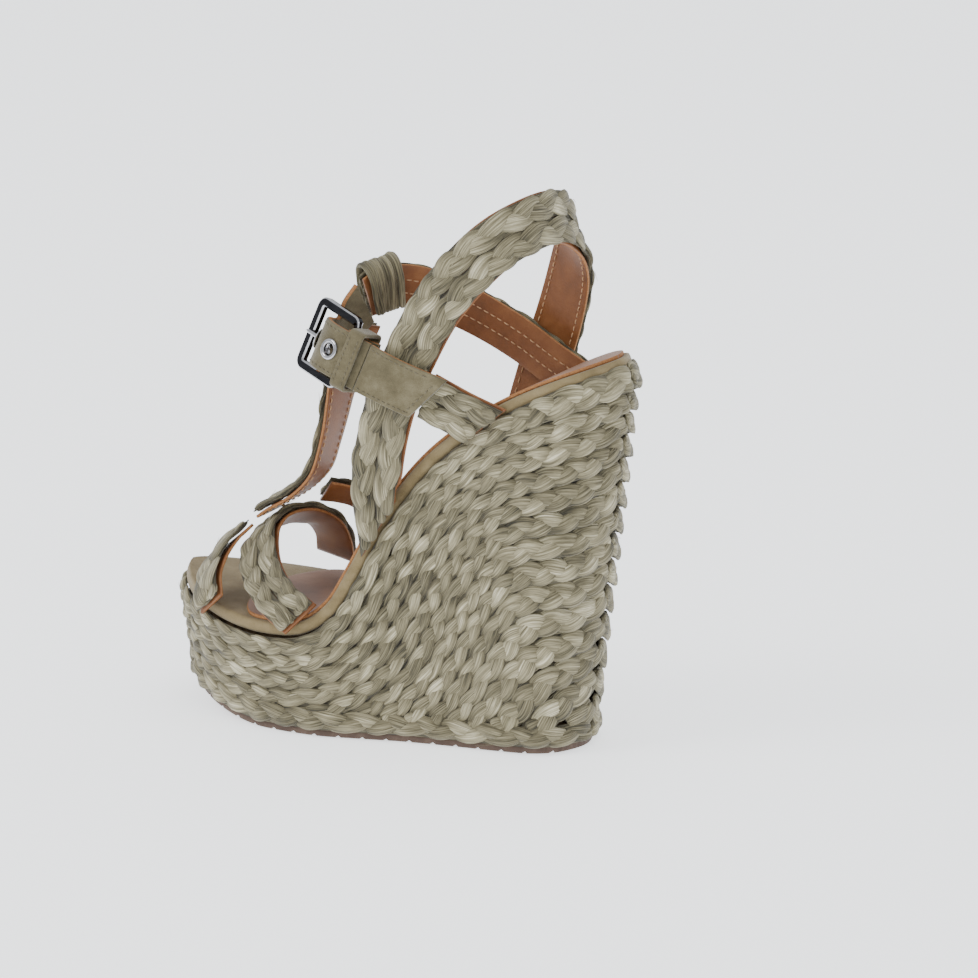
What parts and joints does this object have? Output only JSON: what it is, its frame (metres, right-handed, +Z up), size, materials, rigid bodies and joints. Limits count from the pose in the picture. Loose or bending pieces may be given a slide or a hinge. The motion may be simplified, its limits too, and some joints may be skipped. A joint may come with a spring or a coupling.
{
  "type": "wedge sandal",
  "caption": "Left wedge sandal: braid-wrapped platform wedge, plaited vamp, T and ankle straps, a back loop round the heel, and a buckled suede strap end.",
  "frame": {"origin": "on the floor under the middle of the shoe's box", "axes": "toe points along -X, outer (buckle) side -Y, +Z up"},
  "size_m": [0.1968, 0.0898, 0.2138],
  "materials": {
    "raffia": "plaited natural raffia, grey-khaki",
    "suede": "khaki suede",
    "lining_leather": "smooth tan leather",
    "sock_leather": "smooth pale tan leather",
    "outsole_rubber": "matt brown rubber",
    "wedge_core": "light core, hidden by the braid",
    "steel_shank": "plain steel strip, hidden",
    "polished_metal": "polished nickel"
  },
  "bodies": {
    "shoe": {"ankle_front_lining": "lining_leather", "ankle_front_plait_a": "raffia", "ankle_front_plait_b": "raffia", "ankle_outer_lining": "lining_leather", "ankle_outer_plait_a": "raffia", "ankle_outer_plait_b": "raffia", "ankle_strap_end": "suede", "back_loop_lining": "lining_leather", "back_loop_plait_a": "raffia", "back_loop_plait_b": "raffia", "buckle_chape": "suede", "eyelet_at_prong": "polished_metal", "eyelet_free": "polished_metal", "footbed_board": "suede", "foxing_braid": "raffia", "insole_sock": "sock_leather", "outsole": "outsole_rubber", "steel_shank": "steel_shank", "t_strap_lining": "lining_leather", "t_strap_loop": "raffia", "t_strap_plait_a": "raffia", "t_strap_plait_b": "raffia", "vamp_front_lining": "lining_leather", "vamp_front_plait": "raffia", "vamp_inner_lining": "lining_leather", "vamp_inner_plait": "raffia", "vamp_rear_lining": "lining_leather", "vamp_rear_plait_a": "raffia", "vamp_rear_plait_b": "raffia", "wedge_core": "wedge_core", "wrap_row_01": "raffia", "wrap_row_02": "raffia", "wrap_row_03": "raffia", "wrap_row_04": "raffia", "wrap_row_05_inner": "raffia", "wrap_row_05_outer": "raffia", "wrap_row_06_inner": "raffia", "wrap_row_06_outer": "raffia", "wrap_row_07_inner": "raffia", "wrap_row_07_outer": "raffia", "wrap_row_08_inner": "raffia", "wrap_row_08_outer": "raffia", "wrap_row_09_inner": "raffia", "wrap_row_09_outer": "raffia", "wrap_row_10_inner": "raffia", "wrap_row_10_outer": "raffia", "wrap_row_11_inner": "raffia", "wrap_row_11_outer": "raffia", "wrap_row_12_inner": "raffia", "wrap_row_12_outer": "raffia", "wrap_row_13_inner": "raffia", "wrap_row_13_outer": "raffia", "wrap_row_14_inner": "raffia", "wrap_row_14_outer": "raffia"},
    "buckle": {"buckle_frame": "polished_metal"},
    "prong": {"buckle_prong": "polished_metal"},
    "keeper": {"strap_keeper": "suede"},
    "strap_tip": {"ankle_strap_tip": "suede"}
  },
  "joints": [
    {"name": "buckle_swing", "type": "hinge", "parent": "shoe", "child": "buckle", "pos_m": [-0.0055, -0.03021, 0.1495], "axis": [0.3112, 0.2052, 0.9279], "range_deg": [0, 3]},
    {"name": "prong_lift", "type": "hinge", "parent": "buckle", "child": "prong", "pos_m": [-0.0055, -0.03021, 0.1495], "axis": [0.3112, 0.2052, 0.9279], "range_deg": [0, 2.5]},
    {"name": "keeper_slide", "type": "slide", "parent": "shoe", "child": "keeper", "axis": [0.9493, -0.1123, -0.2935], "range_m": [0, 0.0025]},
    {"name": "strap_tip_flex", "type": "hinge", "parent": "shoe", "child": "strap_tip", "pos_m": [0.00614, -0.03889, 0.14724], "axis": [-0.3229, -0.1899, -0.9272], "range_deg": [0, 20], "stiffness_Nm_per_rad": 0.05}
  ]
}
